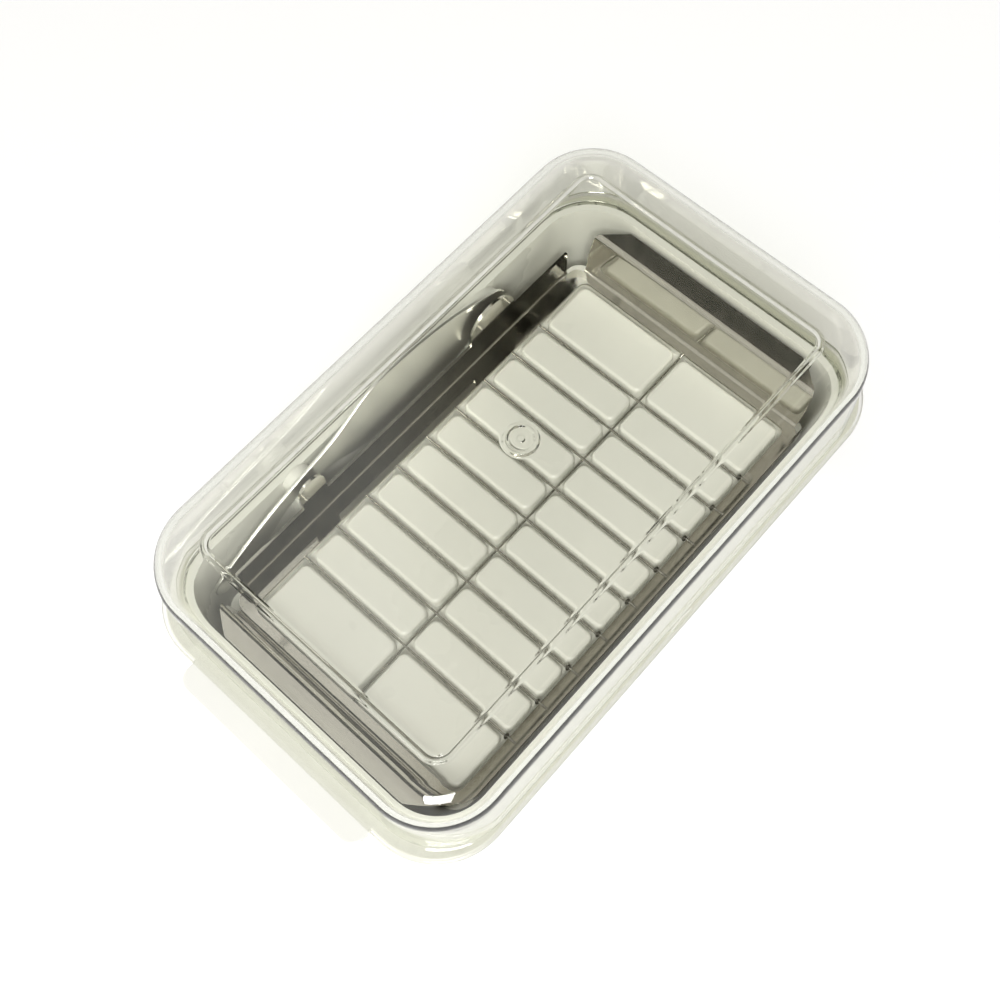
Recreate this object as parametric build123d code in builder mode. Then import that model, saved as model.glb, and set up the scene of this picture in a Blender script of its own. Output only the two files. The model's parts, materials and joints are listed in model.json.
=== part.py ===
from build123d import *
import math
import os

# Butter cutting case: a moulded tray with a field of blocks, a steel cutting
# frame strung with wires that drop between the blocks, a butter knife parked
# in a trough, and a clear lid over all of it.
#
# Axes: +X runs along the long side, away from the finger tab; +Y runs across,
# towards the knife; +Z is up. The origin is on the table, under the middle of
# the whole outline, tab included. All sizes are millimetres.

os.makedirs("parts", exist_ok=True)

# ---------------------------------------------------------------- heights
floor_thick = 2.5           # tray floor
ledge_top = 29.0            # ledge that the lid stands on
ledge_thick = 2.0
lip_rise = 2.5              # tray lip that stands inside the lid
lid_top = 59.5              # flat top of the lid, without its raised panel

# ---------------------------------------------------------------- block field
wire_pitch = 11.4           # spacing of the cross wires, one slice of butter
cross_wires = 9
field_length = 126.6
field_width = 68.4
groove_width = 1.6
groove_bottom = 11.7
block_top = 15.4
block_corner = 2.3
block_round = 1.0
block_draft = 5.0           # degrees

# ---------------------------------------------------------------- cutting frame
sheet = 0.8                 # steel sheet
opening_end_gap = 1.0       # clear between the blocks and the opening, at the ends
opening_side_gap = 1.1      # and along the sides
opening_length = field_length + 2 * opening_end_gap
opening_width = field_width + 2 * opening_side_gap
opening_corner = 2.6
end_strip = 3.7             # flat of the ring, from the opening to an end wall
side_strip = 6.1            # and from the opening to a side wall
ring_length = opening_length + 2 * end_strip
ring_width = opening_width + 2 * side_strip
side_wall_stop = 5.0        # the side walls stop this far from the ring's ends
side_wall_length = ring_length - 2 * side_wall_stop
side_wall_height = 10.3
side_bend = 1.4             # outer bend radius
end_lean = 2.4              # outward lean of each end wall over its height
end_wall_height = 15.4
end_foot_inset = 4.1        # each side of an end wall's foot, in from the ring
end_narrowing = 1.5         # each side, from the wall's foot to its top
end_foot_width = ring_width - 2 * end_foot_inset
end_top_width = end_foot_width - 2 * end_narrowing
end_flange = 6.4            # push flange, outward from the end wall
flange_corner_cut = 6.3     # width taken off each corner of the flange
end_flange_width = end_top_width - 2 * flange_corner_cut
end_bend = 1.8

# ---------------------------------------------------------------- bench under the frame
bench_end_margin = 1.0      # the bench is wider than the ring by this, at each end
bench_side_margin = 0.2     # and along each side
bench_length = ring_length + 2 * bench_end_margin
bench_width = ring_width + 2 * bench_side_margin
bench_corner = 4.5
bench_top = 14.2
bench_skin = 2.0
pocket_skin = 1.9
moat_overhang = 0.3         # the moat runs this far under the frame

# ---------------------------------------------------------------- tray
near_gap = 2.7              # clear between the frame and the tray wall, near side
far_gap = 5.9               # the knife's trough, on the far side
end_gap = 9.3               # finger room under each push flange
tray_wall = 1.9
tray_length = ring_length + 2 * (end_gap + tray_wall)
tray_width = ring_width + near_gap + far_gap + 2 * tray_wall
field_y = (near_gap - far_gap) / 2          # block field and frame sit off centre
field_offset_x = 0.4        # and a little towards the finger tab
tray_corner = 17.2
tray_draft = 1.5            # degrees, narrower towards the bottom
tray_foot_round = 3.0
edge_round = 0.5

# ---------------------------------------------------------------- lid
lid_wall = 1.8
lid_end_gap = 0.6           # clear between the tray lip and the lid wall, at the ends
lid_side_gap = 1.0          # and along the sides
lid_body_length = tray_length + 2 * (lid_wall + lid_end_gap)
lid_body_width = tray_width + 2 * (lid_wall + lid_side_gap)
lid_corner = tray_corner + lid_wall
lid_draft = 2.5             # degrees
lid_shoulder = 8.5
rim_thick = 1.8
rim_end_reach = 3.2         # the rim stands out from the body, at the ends
rim_side_reach = 1.4        # and along the sides
rim_corner_growth = 0.2
rim_length = lid_body_length + 2 * rim_end_reach
rim_width = lid_body_width + 2 * rim_side_reach
rim_corner = lid_corner + rim_corner_growth
panel_end_inset = 14.2      # raised panel, in from the ends of the body
panel_side_inset = 12.9     # and from its sides
panel_length = lid_body_length - 2 * panel_end_inset
panel_width = lid_body_width - 2 * panel_side_inset
panel_corner = 5.0
panel_rise = 0.6
panel_slope = 60.0          # degrees off the vertical
boss_dia = 9.0
boss_rise = 0.7
dish_dia = 6.6
dish_depth = 0.4
pip_dia = 1.8
lug_length = 8.0
lug_width = 1.4
lug_rise = 0.7

# ---------------------------------------------------------------- ledge and finger tab
ledge_inset = 0.8           # ledge edge sits this far inside the lid rim
tab_reach = 5.6             # finger tab beyond the lid rim
tab_width = 59.0
tab_corner = 4.0
box_x = tab_reach / 2       # middle of the tray and lid, seen from the origin
field_x = box_x - field_offset_x            # middle of the block field and frame

# ---------------------------------------------------------------- wires
wire_dia = 0.6
wire_gap = 0.01             # clear between a wire and the sheet it is welded to
cross_gap = 0.02            # clear between the long wire and the cross wires
wire_bend = 0.5
cross_far_inset = 2.8       # far end is welded under the ring, in from its outside
cross_climb_inset = 1.7     # near end starts to climb, inside the opening
cross_rim_inset = 0.3       # and lies on top of the ring from here
cross_near_inset = 2.2      # to its end, in from the ring's outside
long_climb_inset = 0.4      # the long wire rises to the ring, inside the opening
long_rim_reach = 0.7        # and is level again past the opening's edge
long_end_inset = 1.2        # its ends, in from the ring's outside
cross_far_y = ring_width / 2 - cross_far_inset
cross_climb_y = opening_width / 2 - cross_climb_inset
cross_rim_y = opening_width / 2 - cross_rim_inset
cross_near_y = ring_width / 2 - cross_near_inset
long_climb_x = opening_length / 2 - long_climb_inset
long_rim_x = opening_length / 2 + long_rim_reach
long_end_x = ring_length / 2 - long_end_inset
bead_dia = 1.8
bead_tip = 0.8              # diameter at each end of a bead
bead_length = 1.9

# ---------------------------------------------------------------- knife and its rests
knife_thick = 1.0
knife_back_gap = 3.7        # from the knife's middle plane to the tray wall
knife_y = tray_width / 2 - tray_wall - knife_back_gap
knife_gap = 0.35            # clear behind the knife
knife_round = 0.3
knife_tail_inset = 10.6     # tail of the handle, in from the end of the tray
knife_tail_x = knife_tail_inset - tray_length / 2
ear_top = 34.7              # steel ears in front of the knife
post_top = 32.5             # moulded posts behind the knife
handle_rest_along = 34.0    # middles of the rests, along the knife from its tail
blade_rest_along = 100.8
handle_rest_x = knife_tail_x + handle_rest_along
handle_rest_width = 8.4
blade_rest_x = knife_tail_x + blade_rest_along
blade_rest_width = 17.0
handle_seat = 26.6          # seats under the knife
blade_seat = 21.0
seat_reach = 0.7            # the seats stand out this far in front of the knife
seat_front = knife_y - knife_thick / 2 - seat_reach

cut_over = 1.0              # how far a cutting shape runs past the material


def box_plane(height):
    """A level plane over the middle of the tray and lid."""
    return Plane.XY.offset(height).move(Location((box_x, 0, 0)))


def field_plane(height):
    """A level plane over the middle of the block field and the frame."""
    return Plane.XY.offset(height).move(Location((field_x, field_y, 0)))


def side_plane(y, middle_x=box_x):
    """An upright plane seen from -Y: sketches use X and height."""
    return Plane(origin=(middle_x, y, 0), x_dir=(1, 0, 0), z_dir=(0, -1, 0))


def end_plane():
    """An upright plane seen from +X: sketches use Y from the field, and height."""
    return Plane(origin=(field_x, field_y, 0), x_dir=(0, 1, 0), z_dir=(1, 0, 0))


def wire_lines():
    """X positions of the cross wires, from the middle of the field."""
    return [(k - (cross_wires - 1) / 2) * wire_pitch for k in range(cross_wires)]


def block_columns():
    """Middle and length of each column of blocks; the end columns are longer."""
    edges = [-(field_length + groove_width) / 2] + wire_lines()
    edges.append((field_length + groove_width) / 2)
    return [((a + b) / 2, b - a - groove_width) for a, b in zip(edges[:-1], edges[1:])]


row_width = (field_width - groove_width) / 2
row_middle = (row_width + groove_width) / 2


def block_spots(column_x):
    """The two rows of one column."""
    return (column_x, row_middle), (column_x, -row_middle)


# ================================================================ base tray
tray_height = ledge_top + lip_rise
post_front = knife_y + knife_thick / 2 + knife_gap

with BuildPart() as tray_hollow:
    with BuildSketch(box_plane(tray_height)):
        RectangleRounded(tray_length - 2 * tray_wall, tray_width - 2 * tray_wall,
                         tray_corner - tray_wall)
    extrude(amount=-(tray_height - floor_thick), taper=tray_draft)
    fillet(tray_hollow.edges().group_by(Axis.Z)[0], tray_foot_round - edge_round)
    # the space goes on above the lip, so that what stands in it can be higher
    with BuildSketch(box_plane(tray_height)):
        RectangleRounded(tray_length - 2 * tray_wall, tray_width - 2 * tray_wall,
                         tray_corner - tray_wall)
    extrude(amount=2 * cut_over)

with BuildPart() as ledge:
    with BuildSketch(box_plane(ledge_top - ledge_thick)):
        RectangleRounded(rim_length - 2 * ledge_inset, rim_width - 2 * ledge_inset,
                         rim_corner - ledge_inset)
        tab_length = tab_reach + ledge_inset + 3 * tab_corner
        with Locations((-rim_length / 2 - tab_reach + tab_length / 2, 0)):
            RectangleRounded(tab_length, tab_width, tab_corner)
    extrude(amount=ledge_thick)
    fillet(ledge.edges().group_by(Axis.Z)[-1], edge_round)
    fillet(ledge.edges().group_by(Axis.Z)[0], edge_round)

with BuildPart() as bench:
    with BuildSketch(field_plane(0)):
        RectangleRounded(bench_length, bench_width, bench_corner)
    extrude(amount=bench_top)
    fillet(bench.edges().group_by(Axis.Z)[-1], edge_round)
    # moat round the blocks, then grooves that run out under the frame
    with BuildSketch(field_plane(groove_bottom)):
        RectangleRounded(opening_length + 2 * moat_overhang,
                         opening_width + 2 * moat_overhang, opening_corner)
    extrude(amount=bench_top - groove_bottom + cut_over, mode=Mode.SUBTRACT)
    groove_height = bench_top - groove_bottom + cut_over
    groove_z = groove_bottom + groove_height / 2
    with Locations([(field_x + x, field_y, groove_z) for x in wire_lines()]):
        Box(groove_width, bench_width + cut_over, groove_height, mode=Mode.SUBTRACT)
    with Locations((field_x, field_y, groove_z)):
        Box(bench_length + cut_over, groove_width, groove_height, mode=Mode.SUBTRACT)

with BuildPart() as blocks:
    with BuildSketch(field_plane(groove_bottom - cut_over)):
        for column_x, column_length in block_columns():
            with Locations(*block_spots(column_x)):
                RectangleRounded(column_length, row_width, block_corner)
    extrude(amount=cut_over)
    with BuildSketch(field_plane(groove_bottom)):
        for column_x, column_length in block_columns():
            with Locations(*block_spots(column_x)):
                RectangleRounded(column_length, row_width, block_corner)
    extrude(amount=block_top - groove_bottom, taper=block_draft)
    fillet(blocks.edges().group_by(Axis.Z)[-1], block_round)

with BuildPart() as bench_hollow:
    bench_ceiling = groove_bottom - bench_skin
    with BuildSketch(field_plane(0)):
        RectangleRounded(bench_length - 2 * bench_skin, bench_width - 2 * bench_skin,
                         bench_corner - bench_skin)
    extrude(amount=bench_ceiling)
    with BuildSketch(field_plane(bench_ceiling)):
        for column_x, column_length in block_columns():
            with Locations(*block_spots(column_x)):
                Rectangle(column_length - 2 * pocket_skin, row_width - 2 * pocket_skin)
    extrude(amount=block_top - pocket_skin - bench_ceiling)

with BuildPart() as base_tray:
    with BuildSketch(box_plane(tray_height)):
        RectangleRounded(tray_length, tray_width, tray_corner)
    extrude(amount=-tray_height, taper=tray_draft)
    fillet(base_tray.edges().group_by(Axis.Z)[0], tray_foot_round)
    add(ledge.part)
    add(tray_hollow.part, mode=Mode.SUBTRACT)
    add(bench.part)
    add(blocks.part)
    add(bench_hollow.part, mode=Mode.SUBTRACT)

base_tray.part.label = "base_tray"
export_step(base_tray.part, "parts/base_tray.step")

# ================================================================ knife rests
bench_edge_y = field_y + bench_width / 2
rest_back_y = tray_width / 2


def knife_rest(middle_x, width, seat):
    """A seat under the knife with a round-topped post behind it, in the trough."""
    post_radius = width / 2
    with BuildPart() as rest:
        with BuildSketch(side_plane(rest_back_y)):
            with Locations((middle_x, (post_top - post_radius) / 2)):
                Rectangle(width, post_top - post_radius)
            with Locations((middle_x, post_top - post_radius)):
                Circle(post_radius)
        extrude(amount=rest_back_y - post_front)
        seat_depth = rest_back_y - seat_front
        with Locations((box_x + middle_x, seat_front + seat_depth / 2, seat / 2)):
            Box(width, seat_depth, seat)
        # low web ties the seat to the bench under the frame
        web_depth = rest_back_y - bench_edge_y
        web_height = bench_top - cut_over
        with Locations((box_x + middle_x, bench_edge_y + web_depth / 2, web_height / 2)):
            Box(width, web_depth, web_height)
        # trimmed to the space inside the tray, so it meets the floor and the wall
        add(tray_hollow.part, mode=Mode.INTERSECT)
    return rest.part


handle_rest = knife_rest(handle_rest_x, handle_rest_width, handle_seat)
handle_rest.label = "handle_rest"
export_step(handle_rest, "parts/handle_rest.step")

blade_rest = knife_rest(blade_rest_x, blade_rest_width, blade_seat)
blade_rest.label = "blade_rest"
export_step(blade_rest, "parts/blade_rest.step")

# ================================================================ cutting frame
ring_bottom = bench_top
sheet_middle = ring_bottom + sheet / 2
end_foot_x = (ring_length - sheet) / 2
end_head_x = end_foot_x + end_lean
end_head_z = ring_bottom + end_wall_height - sheet / 2
end_out_x = end_head_x + end_flange
side_wall_y = (ring_width - sheet) / 2
side_wall_top = ring_bottom + side_wall_height
bend_overlap = 3.0          # flat part of a bent strip, laid into the ring

with BuildPart() as end_plate:
    # side view of one end: up from the ring, then out into the push flange
    with BuildSketch(side_plane(field_y, field_x)):
        with BuildLine():
            FilletPolyline((end_foot_x - bend_overlap, sheet_middle),
                           (end_foot_x, sheet_middle), (end_head_x, end_head_z),
                           (end_out_x, end_head_z), radius=end_bend - sheet / 2)
        trace(line_width=sheet)
    extrude(amount=end_foot_width / 2, both=True)
    # plan view narrows the wall to its top and cuts the flange corners
    with BuildSketch(field_plane(ring_bottom - cut_over)):
        half_foot = end_foot_width / 2
        half_top = end_top_width / 2
        half_out = end_flange_width / 2
        inner_x = end_foot_x - bend_overlap - cut_over
        foot_x = end_foot_x + sheet
        head_x = end_head_x + sheet
        with BuildLine():
            Polyline((inner_x, half_foot), (foot_x, half_foot), (head_x, half_top),
                     (end_out_x, half_out), (end_out_x, -half_out), (head_x, -half_top),
                     (foot_x, -half_foot), (inner_x, -half_foot), close=True)
        make_face()
    extrude(amount=end_wall_height + 2 * cut_over, mode=Mode.INTERSECT)

with BuildPart() as side_wall:
    with BuildSketch(end_plane()):
        with BuildLine():
            FilletPolyline((side_wall_y - bend_overlap, sheet_middle),
                           (side_wall_y, sheet_middle), (side_wall_y, side_wall_top),
                           radius=side_bend - sheet / 2)
        trace(line_width=sheet)
    extrude(amount=side_wall_length / 2, both=True)

with BuildPart() as cutter_frame:
    with BuildSketch(field_plane(ring_bottom)):
        RectangleRounded(ring_length - 2 * end_bend, ring_width - 2 * side_bend,
                         opening_corner)
        RectangleRounded(opening_length, opening_width, opening_corner, mode=Mode.SUBTRACT)
    extrude(amount=sheet)
    add(end_plate.part)
    add(side_wall.part)
    mirror(about=Plane.YZ.offset(field_x))
    mirror(about=Plane.XZ.offset(-field_y))
    # two round-topped ears on the far wall stand in front of the knife
    with BuildSketch(side_plane(field_y + side_wall_y + sheet / 2)):
        for ear_x, ear_width in ((handle_rest_x, handle_rest_width),
                                 (blade_rest_x, blade_rest_width)):
            ear_radius = ear_width / 2
            ear_rise = ear_top - ear_radius - side_wall_top + cut_over
            with Locations((ear_x, side_wall_top - cut_over + ear_rise / 2)):
                Rectangle(ear_width, ear_rise)
            with Locations((ear_x, ear_top - ear_radius)):
                Circle(ear_radius)
    extrude(amount=sheet)

cutter_frame.part.label = "cutter_frame"
export_step(cutter_frame.part, "parts/cutter_frame.step")

# ================================================================ wires
low_wire_z = ring_bottom - wire_dia / 2 - wire_gap
high_wire_z = ring_bottom + sheet + wire_dia / 2 + wire_gap
long_wire_z = low_wire_z - wire_dia - cross_gap


def cross_wire(x, thickness):
    """A wire from under the far side of the ring to the top of the near side."""
    with BuildPart() as wire:
        with BuildLine() as path:
            FilletPolyline((x, field_y + cross_far_y, low_wire_z),
                           (x, field_y - cross_climb_y, low_wire_z),
                           (x, field_y - cross_rim_y, high_wire_z),
                           (x, field_y - cross_near_y, high_wire_z), radius=wire_bend)
        with BuildSketch(Plane(origin=path.line @ 0, z_dir=path.line % 0)):
            Circle(thickness / 2)
        sweep(path=path.line)
    return wire.part


for number, line_x in enumerate(wire_lines(), start=1):
    one_wire = cross_wire(field_x + line_x, wire_dia)
    one_wire.label = f"cross_wire_{number}"
    export_step(one_wire, f"parts/cross_wire_{number}.step")

with BuildPart() as long_wire:
    with BuildLine() as long_path:
        FilletPolyline((field_x - long_end_x, field_y, low_wire_z),
                       (field_x - long_rim_x, field_y, low_wire_z),
                       (field_x - long_climb_x, field_y, long_wire_z),
                       (field_x + long_climb_x, field_y, long_wire_z),
                       (field_x + long_rim_x, field_y, low_wire_z),
                       (field_x + long_end_x, field_y, low_wire_z), radius=wire_bend)
    with BuildSketch(Plane(origin=long_path.line @ 0, z_dir=long_path.line % 0)):
        Circle(wire_dia / 2)
    sweep(path=long_path.line)

long_wire.part.label = "long_wire"
export_step(long_wire.part, "parts/long_wire.step")

# ================================================================ wire beads
climb_angle = math.degrees(math.atan2(high_wire_z - low_wire_z,
                                      cross_rim_y - cross_climb_y))
bead_y = field_y - (cross_climb_y + cross_rim_y) / 2
bead_z = (low_wire_z + high_wire_z) / 2

with BuildPart() as bead:
    with BuildSketch(Plane.YZ):
        with BuildLine():
            Polyline((-bead_length / 2, 0), (-bead_length / 2, bead_tip / 2),
                     (0, bead_dia / 2), (bead_length / 2, bead_tip / 2),
                     (bead_length / 2, 0), close=True)
        make_face()
    revolve(axis=Axis.Y)

with BuildPart() as wire_beads:
    for line_x in wire_lines():
        with Locations(Location((field_x + line_x, bead_y, bead_z), (-climb_angle, 0, 0))):
            add(bead.part)
        add(cross_wire(field_x + line_x, wire_dia + 2 * wire_gap), mode=Mode.SUBTRACT)

wire_beads.part.label = "wire_beads"
export_step(wire_beads.part, "parts/wire_beads.step")

# ================================================================ butter knife
# Side view: (along X from the tail of the handle, height above the table)
knife_outline = [(0.0, 18.4), (0.9, 21.4), (4.2, 23.5), (10.9, 26.6),
                 (22.8, 31.1), (36.7, 34.6), (46.6, 37.3), (52.5, 40.2),
                 (58.4, 42.9), (65.2, 43.9), (71.3, 43.6), (88.2, 40.5),
                 (102.0, 35.4), (107.4, 31.8), (108.6, 29.0), (107.4, 25.6),
                 (103.2, 22.8), (96.2, 21.6), (78.2, 21.3), (57.5, 21.4),
                 (50.7, 23.0), (45.2, 26.0), (36.7, 27.5), (27.7, 26.6),
                 (23.8, 24.4), (17.8, 20.7), (11.9, 17.9), (5.8, 16.0),
                 (1.7, 16.0)]

with BuildPart() as butter_knife:
    with BuildSketch(side_plane(knife_y + knife_thick / 2)):
        with BuildLine():
            Spline(*[(knife_tail_x + x, z) for x, z in knife_outline], periodic=True)
        make_face()
    extrude(amount=knife_thick)
    fillet(butter_knife.edges().filter_by(GeomType.BSPLINE), knife_round)

butter_knife.part.label = "butter_knife"
export_step(butter_knife.part, "parts/butter_knife.step")

# ================================================================ lid
with BuildPart() as lid_hollow:
    with BuildSketch(box_plane(ledge_top)):
        RectangleRounded(lid_body_length - 2 * lid_wall, lid_body_width - 2 * lid_wall,
                         lid_corner - lid_wall)
    extrude(amount=lid_top - lid_wall - ledge_top, taper=lid_draft)
    fillet(lid_hollow.edges().group_by(Axis.Z)[-1], lid_shoulder - lid_wall)

with BuildPart() as lid:
    with BuildSketch(box_plane(ledge_top)):
        RectangleRounded(lid_body_length, lid_body_width, lid_corner)
    extrude(amount=lid_top - ledge_top, taper=lid_draft)
    fillet(lid.edges().group_by(Axis.Z)[-1], lid_shoulder)
    with BuildSketch(box_plane(ledge_top)):
        RectangleRounded(rim_length, rim_width, rim_corner)
    extrude(amount=rim_thick)
    fillet(lid.edges().group_by(Axis.Z)[0], edge_round)
    with BuildSketch(box_plane(lid_top)):
        RectangleRounded(panel_length, panel_width, panel_corner)
    extrude(amount=panel_rise, taper=panel_slope)
    with BuildSketch(box_plane(lid_top + panel_rise)):
        Circle(boss_dia / 2)
    extrude(amount=boss_rise)
    boss_top = lid_top + panel_rise + boss_rise
    with BuildSketch(box_plane(boss_top)):
        Circle(dish_dia / 2)
        Circle(pip_dia / 2, mode=Mode.SUBTRACT)
    extrude(amount=-dish_depth, mode=Mode.SUBTRACT)
    # thumb lugs at the middle of each long rim
    with BuildSketch(box_plane(ledge_top + rim_thick)):
        with Locations((0, (rim_width - lug_width) / 2 - edge_round),
                       (0, -(rim_width - lug_width) / 2 + edge_round)):
            Ellipse(lug_length / 2, lug_width / 2)
    extrude(amount=lug_rise, taper=lid_draft)
    add(lid_hollow.part, mode=Mode.SUBTRACT)

lid.part.label = "lid"
export_step(lid.part, "parts/lid.step")
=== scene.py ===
# %% [markdown]
# # A butter cutting case, dressed on its CAD frame
#
# The case has an ivory tray with a field of raised blocks, a polished steel
# frame strung with cutting wires, a butter knife parked along one side, and a
# clear lid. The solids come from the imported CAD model. This script gives each
# piece its finish, rebuilds the lid as one smooth clear shell, and sets up the
# studio and the camera.

# %% Load the frame
import json
import math
import bpy
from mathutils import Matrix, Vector


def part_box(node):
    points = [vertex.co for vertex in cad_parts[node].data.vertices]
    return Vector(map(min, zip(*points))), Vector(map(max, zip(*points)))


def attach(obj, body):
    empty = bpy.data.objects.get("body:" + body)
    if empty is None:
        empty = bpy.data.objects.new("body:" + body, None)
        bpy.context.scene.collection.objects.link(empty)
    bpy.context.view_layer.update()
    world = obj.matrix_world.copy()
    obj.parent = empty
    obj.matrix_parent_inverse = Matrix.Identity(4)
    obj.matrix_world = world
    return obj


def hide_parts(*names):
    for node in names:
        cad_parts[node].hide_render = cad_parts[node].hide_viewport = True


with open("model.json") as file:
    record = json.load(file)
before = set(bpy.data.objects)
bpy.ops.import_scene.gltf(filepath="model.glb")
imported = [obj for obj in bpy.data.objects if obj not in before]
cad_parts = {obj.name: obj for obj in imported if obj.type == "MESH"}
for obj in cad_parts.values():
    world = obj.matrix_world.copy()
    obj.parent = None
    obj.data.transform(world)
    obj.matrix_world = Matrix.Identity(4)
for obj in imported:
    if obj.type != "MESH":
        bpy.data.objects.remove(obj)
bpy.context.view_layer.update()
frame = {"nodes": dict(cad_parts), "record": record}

MM = 0.001
nodes = frame["nodes"]

# %% [markdown]
# ## Where things are
#
# The tray and the lid share one middle line, which sits off the origin because
# the finger tab only sticks out at one end. Everything below is placed from
# the lid's own box, so nothing has to be fitted by eye.

# %% Read the main places from the frame
lid_low, lid_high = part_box("lid")
box_middle_x = (lid_low.x + lid_high.x) / 2
rim_half_x = (lid_high.x - lid_low.x) / 2
rim_half_y = (lid_high.y - lid_low.y) / 2
rim_z = lid_low.z
print("lid rim half sizes (mm):", round(rim_half_x / MM, 2), round(rim_half_y / MM, 2),
      "rim height (mm):", round(rim_z / MM, 2))

# %% [markdown]
# ## A short way to wire shader nodes
#
# A material is a graph of nodes. These helpers add a node with its values, or
# start a node group with named sockets, so each finish below reads as a list
# of what it is made of.

# %% Shader helpers
def add_node(tree, kind, **values):
    """Adds a shader node; values set its properties or its input sockets."""
    node = tree.nodes.new(kind)
    for key, value in values.items():
        if hasattr(node, key):
            setattr(node, key, value)
        else:
            node.inputs[key.replace("_", " ")].default_value = value
    return node


def start_group(name, inputs, outputs):
    """A node group with float or colour sockets; returns tree, in and out nodes."""
    tree = bpy.data.node_groups.new(name, "ShaderNodeTree")
    for socket, kind, value in inputs:
        made = tree.interface.new_socket(socket, in_out="INPUT", socket_type=kind)
        made.default_value = value
    for socket, kind in outputs:
        tree.interface.new_socket(socket, in_out="OUTPUT", socket_type=kind)
    return tree, tree.nodes.new("NodeGroupInput"), tree.nodes.new("NodeGroupOutput")


def place_group(material, tree, **values):
    """Puts a group into a material, with its own input values."""
    node = material.node_tree.nodes.new("ShaderNodeGroup")
    node.node_tree = tree
    for key, value in values.items():
        node.inputs[key.replace("_", " ")].default_value = value
    return node


def new_finish(name):
    """A material with one Principled shader; returns material, tree and shader."""
    material = bpy.data.materials.new(name)
    material.use_nodes = True
    tree = material.node_tree
    return material, tree, tree.nodes["Principled BSDF"]


# %% [markdown]
# ## Moulded or cast unevenness
#
# No moulded or rolled surface is perfectly even: its colour drifts a little
# over centimetres and its skin has a very fine orange peel. One group makes
# both from noise in object space, so the scale is real and nothing slides when
# the camera moves.

# %% Node group: uneven skin
FLOAT, COLOUR = "NodeSocketFloat", "NodeSocketColor"

skin_tree, skin_in, skin_out = start_group(
    "uneven_skin",
    [("Colour", COLOUR, (0.8, 0.8, 0.8, 1)), ("Drift", FLOAT, 0.05),
     ("Patch Scale", FLOAT, 40.0), ("Peel Scale", FLOAT, 900.0),
     ("Smooth", FLOAT, 0.3), ("Rough", FLOAT, 0.4)],
    [("Colour", COLOUR), ("Roughness", FLOAT), ("Height", FLOAT)])
place = add_node(skin_tree, "ShaderNodeTexCoord")
patches = add_node(skin_tree, "ShaderNodeTexNoise", Detail=4.0, Roughness=0.55)
peel = add_node(skin_tree, "ShaderNodeTexNoise", Detail=2.0, Roughness=0.5)
shade = add_node(skin_tree, "ShaderNodeMapRange", From_Min=0.3, From_Max=0.7)
dark = add_node(skin_tree, "ShaderNodeMath", operation="SUBTRACT")
dark.inputs[0].default_value = 1.0
tint = add_node(skin_tree, "ShaderNodeMix", data_type="RGBA", blend_type="MULTIPLY")
tint.inputs["Factor"].default_value = 1.0
gloss = add_node(skin_tree, "ShaderNodeMapRange", From_Min=0.3, From_Max=0.7)
link = skin_tree.links.new
link(place.outputs["Object"], patches.inputs["Vector"])
link(place.outputs["Object"], peel.inputs["Vector"])
link(skin_in.outputs["Patch Scale"], patches.inputs["Scale"])
link(skin_in.outputs["Peel Scale"], peel.inputs["Scale"])
link(skin_in.outputs["Drift"], dark.inputs[1])
link(patches.outputs["Fac"], shade.inputs["Value"])
link(dark.outputs[0], shade.inputs["To Min"])
link(shade.outputs["Result"], tint.inputs["B"])
link(skin_in.outputs["Colour"], tint.inputs["A"])
link(patches.outputs["Fac"], gloss.inputs["Value"])
link(skin_in.outputs["Smooth"], gloss.inputs["To Min"])
link(skin_in.outputs["Rough"], gloss.inputs["To Max"])
link(tint.outputs["Result"], skin_out.inputs["Colour"])
link(gloss.outputs["Result"], skin_out.inputs["Roughness"])
link(peel.outputs["Fac"], skin_out.inputs["Height"])
print("group made:", skin_tree.name)

# %% [markdown]
# ## Fine scratches
#
# Kitchenware is washed and stacked, so it carries hairline scratches. They are
# noise stretched fifty times or more along one direction and cut to its thin
# peaks. Steel uses them as polishing lines, the clear lid as wear.

# %% Node group: hairlines
hair_tree, hair_in, hair_out = start_group(
    "hairlines",
    [("Along", FLOAT, 20.0), ("Across", FLOAT, 2500.0), ("Turn", FLOAT, 0.0),
     ("Cut", FLOAT, 0.55), ("Depth", FLOAT, 1.0)],
    [("Mask", FLOAT), ("Height", FLOAT)])
hair_place = add_node(hair_tree, "ShaderNodeTexCoord")
hair_turn = add_node(hair_tree, "ShaderNodeVectorRotate", rotation_type="Z_AXIS")
hair_size = add_node(hair_tree, "ShaderNodeCombineXYZ")
hair_stretch = add_node(hair_tree, "ShaderNodeVectorMath", operation="MULTIPLY")
hair_noise = add_node(hair_tree, "ShaderNodeTexNoise", Scale=1.0, Detail=2.0)
hair_cut = add_node(hair_tree, "ShaderNodeMapRange", From_Max=0.75)
hair_deep = add_node(hair_tree, "ShaderNodeMath", operation="MULTIPLY")
link = hair_tree.links.new
link(hair_place.outputs["Object"], hair_turn.inputs["Vector"])
link(hair_in.outputs["Turn"], hair_turn.inputs["Angle"])
link(hair_in.outputs["Along"], hair_size.inputs["X"])
link(hair_in.outputs["Across"], hair_size.inputs["Y"])
link(hair_in.outputs["Across"], hair_size.inputs["Z"])
link(hair_turn.outputs["Vector"], hair_stretch.inputs[0])
link(hair_size.outputs["Vector"], hair_stretch.inputs[1])
link(hair_stretch.outputs["Vector"], hair_noise.inputs["Vector"])
link(hair_noise.outputs["Fac"], hair_cut.inputs["Value"])
link(hair_in.outputs["Cut"], hair_cut.inputs["From Min"])
link(hair_cut.outputs["Result"], hair_deep.inputs[0])
link(hair_in.outputs["Depth"], hair_deep.inputs[1])
link(hair_cut.outputs["Result"], hair_out.inputs["Mask"])
link(hair_deep.outputs[0], hair_out.inputs["Height"])
print("group made:", hair_tree.name)

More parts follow.
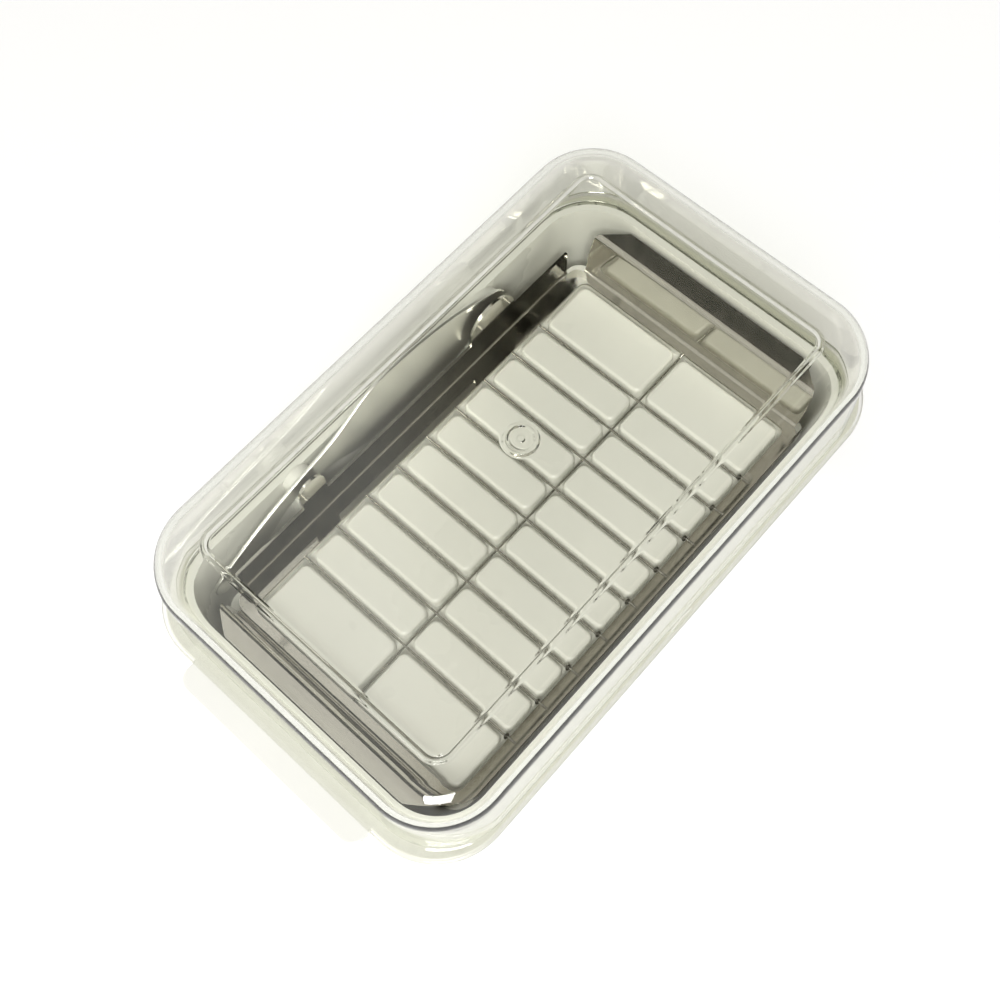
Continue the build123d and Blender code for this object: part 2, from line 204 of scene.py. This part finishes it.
# %% [markdown]
# ## Ivory moulded plastic
#
# The tray is an opaque ivory plastic with a satin gloss. Its colour is almost
# even; what makes it look moulded is the soft highlight that breaks up a little
# over the blocks, and a very shallow orange peel.

# %% Material: ivory plastic
ivory, ivory_nodes, ivory_shader = new_finish("ivory_plastic")
ivory_skin = place_group(ivory, skin_tree, Colour=(0.88, 0.875, 0.835, 1), Drift=0.05,
                         Patch_Scale=30.0, Peel_Scale=1400.0, Smooth=0.24, Rough=0.36)
ivory_bump = add_node(ivory_nodes, "ShaderNodeBump", Strength=0.12, Distance=0.00004)
link = ivory_nodes.links.new
link(ivory_skin.outputs["Colour"], ivory_shader.inputs["Base Color"])
link(ivory_skin.outputs["Roughness"], ivory_shader.inputs["Roughness"])
link(ivory_skin.outputs["Height"], ivory_bump.inputs["Height"])
link(ivory_bump.outputs["Normal"], ivory_shader.inputs["Normal"])
ivory_shader.inputs["IOR"].default_value = 1.5
print("finish made:", ivory.name)

# %% [markdown]
# ## Polished steel
#
# The frame is stainless sheet with a mirror polish. A mirror is judged by what
# it reflects, so the shader stays plain: full metal, low roughness, a faint
# smear where it was handled, and polishing hairlines.

# %% Material: polished steel
steel, steel_nodes, steel_shader = new_finish("polished_steel")
steel_skin = place_group(steel, skin_tree, Colour=(0.62, 0.605, 0.55, 1), Drift=0.06,
                         Patch_Scale=60.0, Peel_Scale=300.0, Smooth=0.03, Rough=0.10)
steel_lines = place_group(steel, hair_tree, Along=12.0, Across=3000.0, Cut=0.5,
                          Depth=0.4)
steel_relief = add_node(steel_nodes, "ShaderNodeMath", operation="ADD")
steel_bump = add_node(steel_nodes, "ShaderNodeBump", Strength=0.05, Distance=0.00003)
link = steel_nodes.links.new
link(steel_skin.outputs["Colour"], steel_shader.inputs["Base Color"])
link(steel_skin.outputs["Roughness"], steel_shader.inputs["Roughness"])
link(steel_skin.outputs["Height"], steel_relief.inputs[0])
link(steel_lines.outputs["Height"], steel_relief.inputs[1])
link(steel_relief.outputs[0], steel_bump.inputs["Height"])
link(steel_bump.outputs["Normal"], steel_shader.inputs["Normal"])
steel_shader.inputs["Metallic"].default_value = 1.0
print("finish made:", steel.name)

# %% [markdown]
# ## Drawn wire
#
# The wires are drawn through dies, which leaves them with a slightly greyer,
# softer shine than the polished sheet. They are too thin for the drawing lines
# to be told apart, so an uneven skin is all that they carry.

# %% Material: drawn wire
wire, wire_nodes, wire_shader = new_finish("steel_wire")
wire_skin = place_group(wire, skin_tree, Colour=(0.44, 0.43, 0.39, 1), Drift=0.15,
                        Patch_Scale=250.0, Peel_Scale=2500.0, Smooth=0.16, Rough=0.30)
wire_bump = add_node(wire_nodes, "ShaderNodeBump", Strength=0.15, Distance=0.00002)
link = wire_nodes.links.new
link(wire_skin.outputs["Colour"], wire_shader.inputs["Base Color"])
link(wire_skin.outputs["Roughness"], wire_shader.inputs["Roughness"])
link(wire_skin.outputs["Height"], wire_bump.inputs["Height"])
link(wire_bump.outputs["Normal"], wire_shader.inputs["Normal"])
wire_shader.inputs["Metallic"].default_value = 1.0
print("finish made:", wire.name)

# %% [markdown]
# ## Satin steel
#
# The knife looks brushed rather than mirror polished. Its blade spreads what
# it reflects into one soft grey, which sets it off from the dark frame beside
# it. The hairlines are cut lower than on the frame, so there are more of them.

# %% Material: satin steel
satin, satin_nodes, satin_shader = new_finish("satin_steel")
satin_skin = place_group(satin, skin_tree, Colour=(0.80, 0.80, 0.76, 1), Drift=0.06,
                         Patch_Scale=60.0, Peel_Scale=500.0, Smooth=0.26, Rough=0.36)
satin_lines = place_group(satin, hair_tree, Along=25.0, Across=4000.0, Cut=0.42,
                          Depth=0.6)
satin_bump = add_node(satin_nodes, "ShaderNodeBump", Strength=0.15, Distance=0.00002)
link = satin_nodes.links.new
link(satin_skin.outputs["Colour"], satin_shader.inputs["Base Color"])
link(satin_skin.outputs["Roughness"], satin_shader.inputs["Roughness"])
link(satin_lines.outputs["Height"], satin_bump.inputs["Height"])
link(satin_bump.outputs["Normal"], satin_shader.inputs["Normal"])
satin_shader.inputs["Metallic"].default_value = 1.0
print("finish made:", satin.name)

# %% [markdown]
# ## Dark beads
#
# The little beads near the wire ends are painted near black: painted shade that stands in
# for the shadowed groove junctions around them. They stand out as a row of dots.

# %% Material: bead steel with painted shade
bead_painted_shade, bead_shade_nodes, bead_shade_shader = new_finish("bead_steel_painted_shade")
# the near-black colour is painted shade for the groove junctions the beads sit in
bead_shade_skin = place_group(bead_painted_shade, skin_tree, Colour=(0.16, 0.155, 0.135, 1), Drift=0.20,
                        Patch_Scale=400.0, Peel_Scale=2500.0, Smooth=0.22, Rough=0.40)
link = bead_shade_nodes.links.new
link(bead_shade_skin.outputs["Colour"], bead_shade_shader.inputs["Base Color"])
link(bead_shade_skin.outputs["Roughness"], bead_shade_shader.inputs["Roughness"])
bead_shade_shader.inputs["Metallic"].default_value = 1.0
print("finish made:", bead_painted_shade.name)

# %% [markdown]
# ## Clear, faintly smoky plastic
#
# The lid is a clear styrene-like plastic. Through one wall it is nearly
# colourless, but along the rim and the shoulders light runs inside the wall
# and comes out yellow-green, which is what an absorbing volume does. Wear is
# a few shallow hairlines.

# %% Material: clear plastic
clear, clear_nodes, clear_shader = new_finish("clear_plastic")
clear_skin = place_group(clear, skin_tree, Colour=(0.94, 0.93, 0.925, 1), Drift=0.012,
                         Patch_Scale=25.0, Peel_Scale=55.0, Smooth=0.0, Rough=0.02)
clear_lines = place_group(clear, hair_tree, Along=30.0, Across=1600.0, Turn=0.6,
                          Cut=0.62, Depth=0.25)
clear_relief = add_node(clear_nodes, "ShaderNodeMath", operation="ADD")
clear_bump = add_node(clear_nodes, "ShaderNodeBump", Strength=0.3, Distance=0.000003)
clear_body = add_node(clear_nodes, "ShaderNodeVolumeAbsorption",
                      Color=(0.82, 0.85, 0.73, 1), Density=120.0)
link = clear_nodes.links.new
link(clear_skin.outputs["Colour"], clear_shader.inputs["Base Color"])
link(clear_skin.outputs["Roughness"], clear_shader.inputs["Roughness"])
link(clear_skin.outputs["Height"], clear_relief.inputs[0])
link(clear_lines.outputs["Height"], clear_relief.inputs[1])
link(clear_relief.outputs[0], clear_bump.inputs["Height"])
link(clear_bump.outputs["Normal"], clear_shader.inputs["Normal"])
clear_end = clear_nodes.nodes["Material Output"]
link(clear_body.outputs["Volume"], clear_end.inputs["Volume"])
clear_shader.inputs["Transmission Weight"].default_value = 1.0
clear_shader.inputs["IOR"].default_value = 1.55
print("finish made:", clear.name)

# %% [markdown]
# ### Light that passes the lid
#
# A glass shader alone would leave the tray under the lid dark and speckled,
# because lamps are hard to find through bent glass. So light on its way to a
# matt surface passes straight through, hardly dimmed. Only what is seen through
# the lid, or mirrored in it, bends.

# %% Let light through to matt surfaces
clear_path = add_node(clear_nodes, "ShaderNodeLightPath")
clear_soft = add_node(clear_nodes, "ShaderNodeMath", operation="MAXIMUM")
clear_pass = add_node(clear_nodes, "ShaderNodeBsdfTransparent",
                      Color=(0.97, 0.97, 0.955, 1))
clear_mix = add_node(clear_nodes, "ShaderNodeMixShader")
link(clear_path.outputs["Is Shadow Ray"], clear_soft.inputs[0])
link(clear_path.outputs["Is Diffuse Ray"], clear_soft.inputs[1])
link(clear_soft.outputs[0], clear_mix.inputs[0])
link(clear_shader.outputs["BSDF"], clear_mix.inputs[1])
link(clear_pass.outputs["BSDF"], clear_mix.inputs[2])
link(clear_mix.outputs["Shader"], clear_end.inputs["Surface"])
print("nodes in", clear.name + ":", len(clear_nodes.nodes))

# %% [markdown]
# ## Dress the CAD pieces
#
# The tray, frame, wires, beads and knife already have their real shapes, so they keep
# their solids and only get their finishes. The record says which finish each one is made
# of; the knife gets a steel of its own, and the beads get a steel painted near black as
# shade.

# %% Give every CAD piece its finish
finishes = {"ivory_plastic": ivory, "polished_steel": steel,
            "steel_wire": wire, "clear_plastic": clear}
# the beads' near-black steel is painted shade
own_finishes = {"butter_knife": satin, "wire_beads": bead_painted_shade}
for part in frame["record"]["subparts"]:
    piece = nodes[part["node"]]
    finish = own_finishes.get(part["node"], finishes[part["material_slot"]])
    for piece_slot in piece.material_slots:
        piece_slot.material = finish
    print("dressed", part["node"], "in", finish.name)

# %% [markdown]
# ## The lid as one smooth shell
#
# Light bends at every facet of a clear piece, so the lid needs a far smoother
# skin than a CAD mesh gives. It is a stack of rings: each ring is a rounded
# rectangle with the same number of points, so neighbouring rings join in even
# strips. The outside runs from the rim up over the shoulder, across the raised
# panel and into the round boss; the inside comes back down to the rim.

# %% Rings of the lid
CORNER_STEPS = 28
SIDE_STOPS = [-1, -0.75, -0.5, -0.25, -0.1]     # shares of half a straight side
LUG_HALF = 4.0                                  # half length of a thumb lug, in mm
LUG_STOPS = [-LUG_HALF, -3.6, -3.0, -2.0, -1.0, 0.0, 1.0, 2.0, 3.0, 3.6, LUG_HALF]
LUG_SHARE = 0.09        # most that the lug's points take of half a straight side


def side_places(straight):
    """Places along one straight side, from one corner to the other."""
    ends = [straight * stop for stop in SIDE_STOPS]
    lug = [stop * min(1.0, straight * LUG_SHARE / LUG_HALF) for stop in LUG_STOPS]
    return ends + lug + [-place for place in reversed(ends)]


def rounded_ring(half_x, half_y, corner, height):
    """Points of a rounded rectangle in millimetres, anticlockwise from above."""
    flat_x, flat_y = half_x - corner, half_y - corner
    ring = []
    for turn, flat in ((0, flat_x), (1, flat_y), (2, flat_x), (3, flat_y)):
        cos, sin = [(1, 0), (0, 1), (-1, 0), (0, -1)][turn]
        out = half_y if turn % 2 == 0 else half_x
        for place in side_places(flat):
            ring.append((cos * place + sin * out, sin * place - cos * out, height))
        middle = (flat * cos + sin * (out - corner), flat * sin - cos * (out - corner))
        for step in range(1, CORNER_STEPS):
            angle = (turn - 1 + step / CORNER_STEPS) * math.pi / 2
            ring.append((middle[0] + corner * math.cos(angle),
                         middle[1] + corner * math.sin(angle), height))
    return ring


def round_ring(radius, height, like):
    """A circle whose points lie in the same directions as those of another ring."""
    angles = [math.atan2(y, x) for x, y, z in like]
    return [(radius * math.cos(a), radius * math.sin(a), height) for a in angles]


print("points in a ring:", 4 * (len(side_places(1.0)) + CORNER_STEPS - 1))

# %% [markdown]
# ### The lid's section
#
# All rings of the wall come from one line: how far in from the rim, and how
# high. The wall leans in by its draft angle, then a quarter round takes it
# over to the flat top. The same rule, one wall thickness inside, gives the
# inner skin.

# %% Section of the lid, in millimetres
rim_x, rim_y = rim_half_x / MM, rim_half_y / MM
rim_base = rim_z / MM
lid_wall = 1.8
rim_thick = 1.8
rim_corner = 19.2
wall_inset_x, wall_inset_y = 3.2, 1.4       # the wall starts this far in from the rim
wall_corner = 19.0
draft = math.radians(2.5)
shoulder = 8.5
panel_rise, boss_rise = 0.6, 0.7
flat_top = lid_high.z / MM - panel_rise - boss_rise
edge = 0.5                                  # rounding of the rim's two edges
guard = 0.4     # a ring this close to a bend keeps its shading off the flat beside it
wall_stops = (37.0, 44.0, flat_top - shoulder - guard)      # plain rings up the wall
shoulder_steps = 24
least_corner = 1.0                          # smallest corner of a ring on the flat top


def inset_ring(inset, height, corner):
    """Ring at a distance in from the foot of the wall."""
    return rounded_ring(rim_x - wall_inset_x - inset, rim_y - wall_inset_y - inset,
                        corner, height)


def wall_ring(height, inward=0.0):
    """Ring of the drafted wall at one height, moved inward by a distance."""
    lean = (height - rim_base) * math.tan(draft) + inward
    return inset_ring(lean, height, wall_corner - lean)


def shoulder_rings(top, radius, inward):
    """Quarter round from the wall to the flat top."""
    lean_top = (top - rim_base) * math.tan(draft)
    sweep = math.pi / 2 - draft
    # centre of the round: tangent to the wall line and to the top
    centre_in = inward + lean_top + radius * math.tan(sweep / 2)
    rings = []
    for step in range(shoulder_steps + 1):
        angle = draft + sweep * step / shoulder_steps
        inset = centre_in - radius * math.cos(angle)
        height = top - radius + radius * math.sin(angle)
        rings.append(inset_ring(inset, height, wall_corner - inset))
    inset = centre_in + guard
    rings.append(inset_ring(inset, top, max(wall_corner - inset, least_corner)))
    return rings


print("flat top at", round(flat_top, 2), "mm, starts", round(wall_inset_y + shoulder
      + (flat_top - rim_base) * math.tan(draft), 1), "mm in from the rim")

# %% [markdown]
# ### Rim and thumb lugs
#
# The rim is a flat flange with rounded edges. In the middle of each long side
# it swells into a small lens-shaped lug for the thumb. Rings lie close together
# across the rim's top so that the lug has points to stand on.

# %% Rings of the rim
lug_rise = 0.6
lug_inset, lug_half_width = 0.9, 0.6        # the lug's middle, in from the rim's edge


def rim_ring(inset, height, lug=0.0):
    """Ring on the rim flange; lug raises a lens in the middle of the long sides."""
    ring = []
    for x, y, z in rounded_ring(rim_x - inset, rim_y - inset, rim_corner - inset, height):
        across = (abs(y) - (rim_y - lug_inset)) / lug_half_width
        lens = 1 - (x / LUG_HALF) ** 2 - across ** 2
        ring.append((x, y, z + lug * math.sqrt(max(0.0, lens))))
    return ring


rim_top = rim_base + rim_thick
lug_rings, lug_spacing = 11, 0.08
edge_turns = [math.pi * turn / 6 for turn in range(4)]
outer = [rim_ring(edge, rim_base)]
outer += [rim_ring(edge * (1 - math.sin(a)), rim_base + edge * (1 - math.cos(a)))
          for a in edge_turns[1:]]
outer += [rim_ring(edge * (1 - math.cos(a)), rim_top - edge * (1 - math.sin(a)))
          for a in edge_turns]
outer += [rim_ring(edge + step * lug_spacing, rim_top, lug=lug_rise)
          for step in range(lug_rings)]
print("rings of the rim:", len(outer))

# %% [markdown]
# ### Wall, panel and boss
#
# From the rim the outside rises over the wall and the shoulder to the flat top.
# There a broad panel stands a little over half a millimetre proud, with a fine
# groove just inside its edge, so it shows as a double line. At its middle is a
# plain round boss with a shallow dish and a pip, where the mould was filled.
#
# The panel and the boss are written as sections, a list of pairs. The panel's
# first numbers are distances out from its edge, the boss's are radii, and the
# second numbers are heights, all in millimetres. The larger slopes are a
# quarter to a third of a millimetre wide, so that a picture can show them.

# %% Rings of the wall, panel and boss
wall_foot = ((0.02, -0.08), (0.1, 0.0), (0.4, 0.0))     # height over the rim, inward
outer += [wall_ring(rim_top + up, inward=inward) for up, inward in wall_foot]
outer += [wall_ring(height) for height in wall_stops]
outer += shoulder_rings(flat_top, shoulder, 0.0)
panel_inset_x, panel_inset_y, panel_corner = 14.2, 12.9, 5.0
panel_x = rim_x - wall_inset_x - panel_inset_x
panel_y = rim_y - wall_inset_y - panel_inset_y
panel_section = [(0.40, 0.0), (0.12, 0.0), (0.02, 0.03), (-0.06, 0.10), (-0.30, 0.50),
                 (-0.38, 0.57), (-0.48, 0.60), (-0.72, 0.60), (-1.00, 0.60),
                 (-1.08, 0.57), (-1.34, 0.14), (-1.44, 0.10), (-1.54, 0.14),
                 (-1.80, 0.57), (-1.88, 0.60), (-2.20, 0.60)]
outer += [rounded_ring(panel_x + out, panel_y + out, panel_corner + out,
                       flat_top + rise) for out, rise in panel_section]
panel_ring = outer[-1]
panel_top = flat_top + panel_rise
boss_section = [(5.1, 0.0), (4.65, 0.0), (4.5, 0.03), (4.4, 0.12), (4.15, 0.58),
                (4.05, 0.67), (3.9, 0.70), (3.5, 0.70), (3.3, 0.67), (3.2, 0.60),
                (3.0, 0.38), (2.9, 0.32), (2.75, 0.30), (1.25, 0.30), (1.1, 0.33),
                (0.85, 0.60), (0.75, 0.67), (0.6, 0.70)]
outer += [round_ring(radius, panel_top + rise, panel_ring)
          for radius, rise in boss_section]
print("rings outside:", len(outer))

# %% [markdown]
# ### Inside
#
# The inner skin has no panel and no boss: it follows the wall and the shoulder
# one wall thickness in, and ends in a flat ceiling. A few rings under the rim
# lead from the inner skin back to the outer one.

# %% Rings inside and under the rim
ceiling = flat_top - lid_wall
inner = [wall_ring(rim_base + up, inward=lid_wall) for up in (0.3, 0.7)]
inner += [wall_ring(height, inward=lid_wall) for height in wall_stops]
inner += shoulder_rings(ceiling, shoulder - lid_wall, lid_wall)
ceiling_x, ceiling_y, ceiling_corner, ceiling_round = 40.0, 20.0, 4.0, 6.0
inner += [rounded_ring(ceiling_x, ceiling_y, ceiling_corner, ceiling),
          round_ring(ceiling_round, ceiling, panel_ring)]
foot_chamfer = 0.08                         # breaks the inner edge of the underside
foot_flat, rim_flat = 0.3, 0.4              # how far in the underside's rings lie
foot = [wall_ring(rim_base + foot_chamfer, inward=lid_wall - foot_chamfer),
        wall_ring(rim_base, inward=lid_wall - foot_flat),
        rim_ring(edge + rim_flat, rim_base)]
print("rings inside and under the rim:", len(inner), len(foot))

# %% [markdown]
# ### From rings to a mesh
#
# Each pair of neighbouring rings becomes a strip of four-sided faces, and the first and
# last ring are closed with a fan of triangles. All faces are shaded smooth. The CAD lid
# is hidden, and the new lid rides on the cover body in its place.

# %% Skin the rings into one closed mesh
def skin_rings(name, rings, top_out, top_in):
    """Joins closed rings into strips and closes both ends with a fan."""
    count = len(rings[0])
    points = [(x * MM + box_middle_x, y * MM, z * MM)
              for ring in rings for x, y, z in ring]
    faces = []
    for level in range(len(rings) - 1):
        for k in range(count):
            here, there = level * count + k, level * count + (k + 1) % count
            faces.append((here, there, there + count, here + count))
    for ring, tip, flip in ((0, top_in, True), (len(rings) - 1, top_out, False)):
        points.append((box_middle_x, 0.0, tip * MM))
        for k in range(count):
            fan = (ring * count + k, ring * count + (k + 1) % count, len(points) - 1)
            faces.append(fan[::-1] if flip else fan)
    mesh = bpy.data.meshes.new(name)
    mesh.from_pydata(points, [], faces)
    mesh.shade_smooth()
    piece = bpy.data.objects.new(name, mesh)
    bpy.context.scene.collection.objects.link(piece)
    return piece


lid_shell = skin_rings("lid_shell", inner[::-1] + foot + outer,
                       panel_top + boss_rise, ceiling)
lid_shell.data.materials.append(clear)
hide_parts("lid")
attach(lid_shell, "cover")
print("lid shell faces:", len(lid_shell.data.polygons))

# %% [markdown]
# ## Floor
#
# A plain pale floor carries the object's soft shadow. Seen directly it is
# lifted a little towards white, as a product photograph's table is, while the
# light it throws back on the object stays natural.

# %% Floor and its material
floor_side = 4.0
bpy.ops.mesh.primitive_plane_add(size=floor_side, location=(0, 0, 0))
floor = bpy.context.object
floor.name = "floor"
floor_paint, floor_nodes, floor_shader = new_finish("floor_paint")
floor_shader.inputs["Base Color"].default_value = (0.86, 0.86, 0.86, 1)
floor_shader.inputs["Roughness"].default_value = 0.9
floor_lift = add_node(floor_nodes, "ShaderNodeEmission", Strength=0.16)
floor_path = add_node(floor_nodes, "ShaderNodeLightPath")
floor_seen = add_node(floor_nodes, "ShaderNodeMath", operation="MAXIMUM")
floor_add = add_node(floor_nodes, "ShaderNodeAddShader")
floor_mix = add_node(floor_nodes, "ShaderNodeMixShader")
link = floor_nodes.links.new
link(floor_path.outputs["Is Camera Ray"], floor_seen.inputs[0])
link(floor_path.outputs["Is Transmission Ray"], floor_seen.inputs[1])
link(floor_shader.outputs["BSDF"], floor_add.inputs[0])
link(floor_lift.outputs["Emission"], floor_add.inputs[1])
link(floor_seen.outputs[0], floor_mix.inputs[0])
link(floor_shader.outputs["BSDF"], floor_mix.inputs[1])
link(floor_add.outputs["Shader"], floor_mix.inputs[2])
floor_end = floor_nodes.nodes["Material Output"]
link(floor_mix.outputs["Shader"], floor_end.inputs["Surface"])
floor.data.materials.append(floor_paint)
print("floor side (m):", floor_side)

# %% [markdown]
# ## Studio light
#
# Polished steel shows the room, so the room is built for it: paper white along
# the horizon, a large pale panel over the back left, a narrow strip light beside
# the middle, and a dim warm ceiling over the rest. Steel that faces the ceiling
# goes dark, and bends that sweep past the panel and the strip pick up white
# lines. Seen directly, the whole room is plain white.

# %% World
world = bpy.data.worlds.new("studio")
bpy.context.scene.world = world
world.use_nodes = True
sky = world.node_tree
sky_back = sky.nodes["Background"]
sky_place = add_node(sky, "ShaderNodeTexCoord")
sky_split = add_node(sky, "ShaderNodeSeparateXYZ")
sky_side = add_node(sky, "ShaderNodeVectorMath", operation="DOT_PRODUCT")
sky_side.inputs[1].default_value = (-0.707, 0.707, 0.0)     # towards the back left
sky_panel = add_node(sky, "ShaderNodeMapRange", interpolation_type="SMOOTHSTEP",
                     From_Min=-0.03, From_Max=0.12, To_Min=0.015, To_Max=0.95)
sky_fall = add_node(sky, "ShaderNodeMapRange", From_Min=0.20, From_Max=0.45,
                    To_Min=1.0, To_Max=0.0)
sky_off = add_node(sky, "ShaderNodeMath", operation="SUBTRACT")
sky_off.inputs[1].default_value = 0.09      # where the strip's middle lies
sky_away = add_node(sky, "ShaderNodeMath", operation="ABSOLUTE")
sky_strip = add_node(sky, "ShaderNodeMapRange", interpolation_type="SMOOTHSTEP",
                     From_Min=0.02, From_Max=0.06, To_Min=0.55, To_Max=0.0)
sky_lit = add_node(sky, "ShaderNodeMath", operation="MAXIMUM")
sky_both = add_node(sky, "ShaderNodeMath", operation="MAXIMUM")
sky_path = add_node(sky, "ShaderNodeLightPath")
sky_mix = add_node(sky, "ShaderNodeMix", data_type="FLOAT")
sky_tint = add_node(sky, "ShaderNodeMix", data_type="RGBA")
sky_tint.inputs["A"].default_value = (1.0, 0.93, 0.72, 1)   # where the room is dim
sky_tint.inputs["B"].default_value = (1.0, 0.995, 0.97, 1)  # where it is bright
link = sky.links.new
link(sky_place.outputs["Generated"], sky_split.inputs[0])
link(sky_place.outputs["Generated"], sky_side.inputs[0])
link(sky_side.outputs["Value"], sky_panel.inputs["Value"])
link(sky_split.outputs["Z"], sky_fall.inputs["Value"])
link(sky_split.outputs["Y"], sky_off.inputs[0])
link(sky_off.outputs[0], sky_away.inputs[0])
link(sky_away.outputs[0], sky_strip.inputs["Value"])
link(sky_panel.outputs["Result"], sky_lit.inputs[0])
link(sky_strip.outputs["Result"], sky_lit.inputs[1])
link(sky_lit.outputs[0], sky_both.inputs[0])
link(sky_fall.outputs["Result"], sky_both.inputs[1])
link(sky_path.outputs["Is Camera Ray"], sky_mix.inputs["Factor"])
link(sky_both.outputs[0], sky_mix.inputs["A"])
link(sky_mix.outputs["Result"], sky_tint.inputs["Factor"])
link(sky_tint.outputs["Result"], sky_back.inputs["Color"])
sky_mix.inputs["B"].default_value = 1.0
link(sky_mix.outputs["Result"], sky_back.inputs["Strength"])
print("world made:", world.name)

# %% [markdown]
# ### One soft lamp
#
# A lamp over the near left models the blocks with a soft shadow. It stands
# outside the directions that the lid's flat top mirrors to the camera, so its
# image doesn't lie over the blocks.

# %% Lamp
lamp_place, lamp_aim = (-0.66, -0.60, 1.14), (0.0, 0.0, 0.03)
lamp_side, lamp_power = 0.54, 16.0
lamp = bpy.data.lights.new("near_lamp", "AREA")
lamp.shape = "RECTANGLE"
lamp.size = lamp.size_y = lamp_side
lamp.energy = lamp_power
holder = bpy.data.objects.new("near_lamp", lamp)
holder.location = lamp_place
lamp_way = Vector(lamp_aim) - Vector(lamp_place)
holder.rotation_euler = lamp_way.to_track_quat("-Z", "Y").to_euler()
bpy.context.scene.collection.objects.link(holder)
print("lamp distance (m):", round(lamp_way.length, 2))

# %% [markdown]
# ## Camera
#
# The photograph looks steeply down on the case from over its near left corner.
# Its place and turn were solved from the regular grid of the blocks and the
# lid's outline.

# %% Camera
camera_place = (-0.08571, -0.08170, 0.31495)
camera_turn = (22.505, 1.362, -47.921)      # degrees about x, y and z
lens = bpy.data.cameras.new("camera")
lens.sensor_width = 36.0
lens.lens = 44.68
lens.clip_start = 0.01
camera = bpy.data.objects.new("camera", lens)
camera.location = camera_place
camera.rotation_euler = [math.radians(a) for a in camera_turn]
bpy.context.scene.collection.objects.link(camera)
bpy.context.scene.camera = camera
bpy.context.scene.view_settings.view_transform = "Standard"
print("lens (mm):", lens.lens)

# %% [markdown]
# ## Update the scene
#
# The view layer is updated once more, so that all placements above take effect.

# %% Update the view layer
bpy.context.view_layer.update()
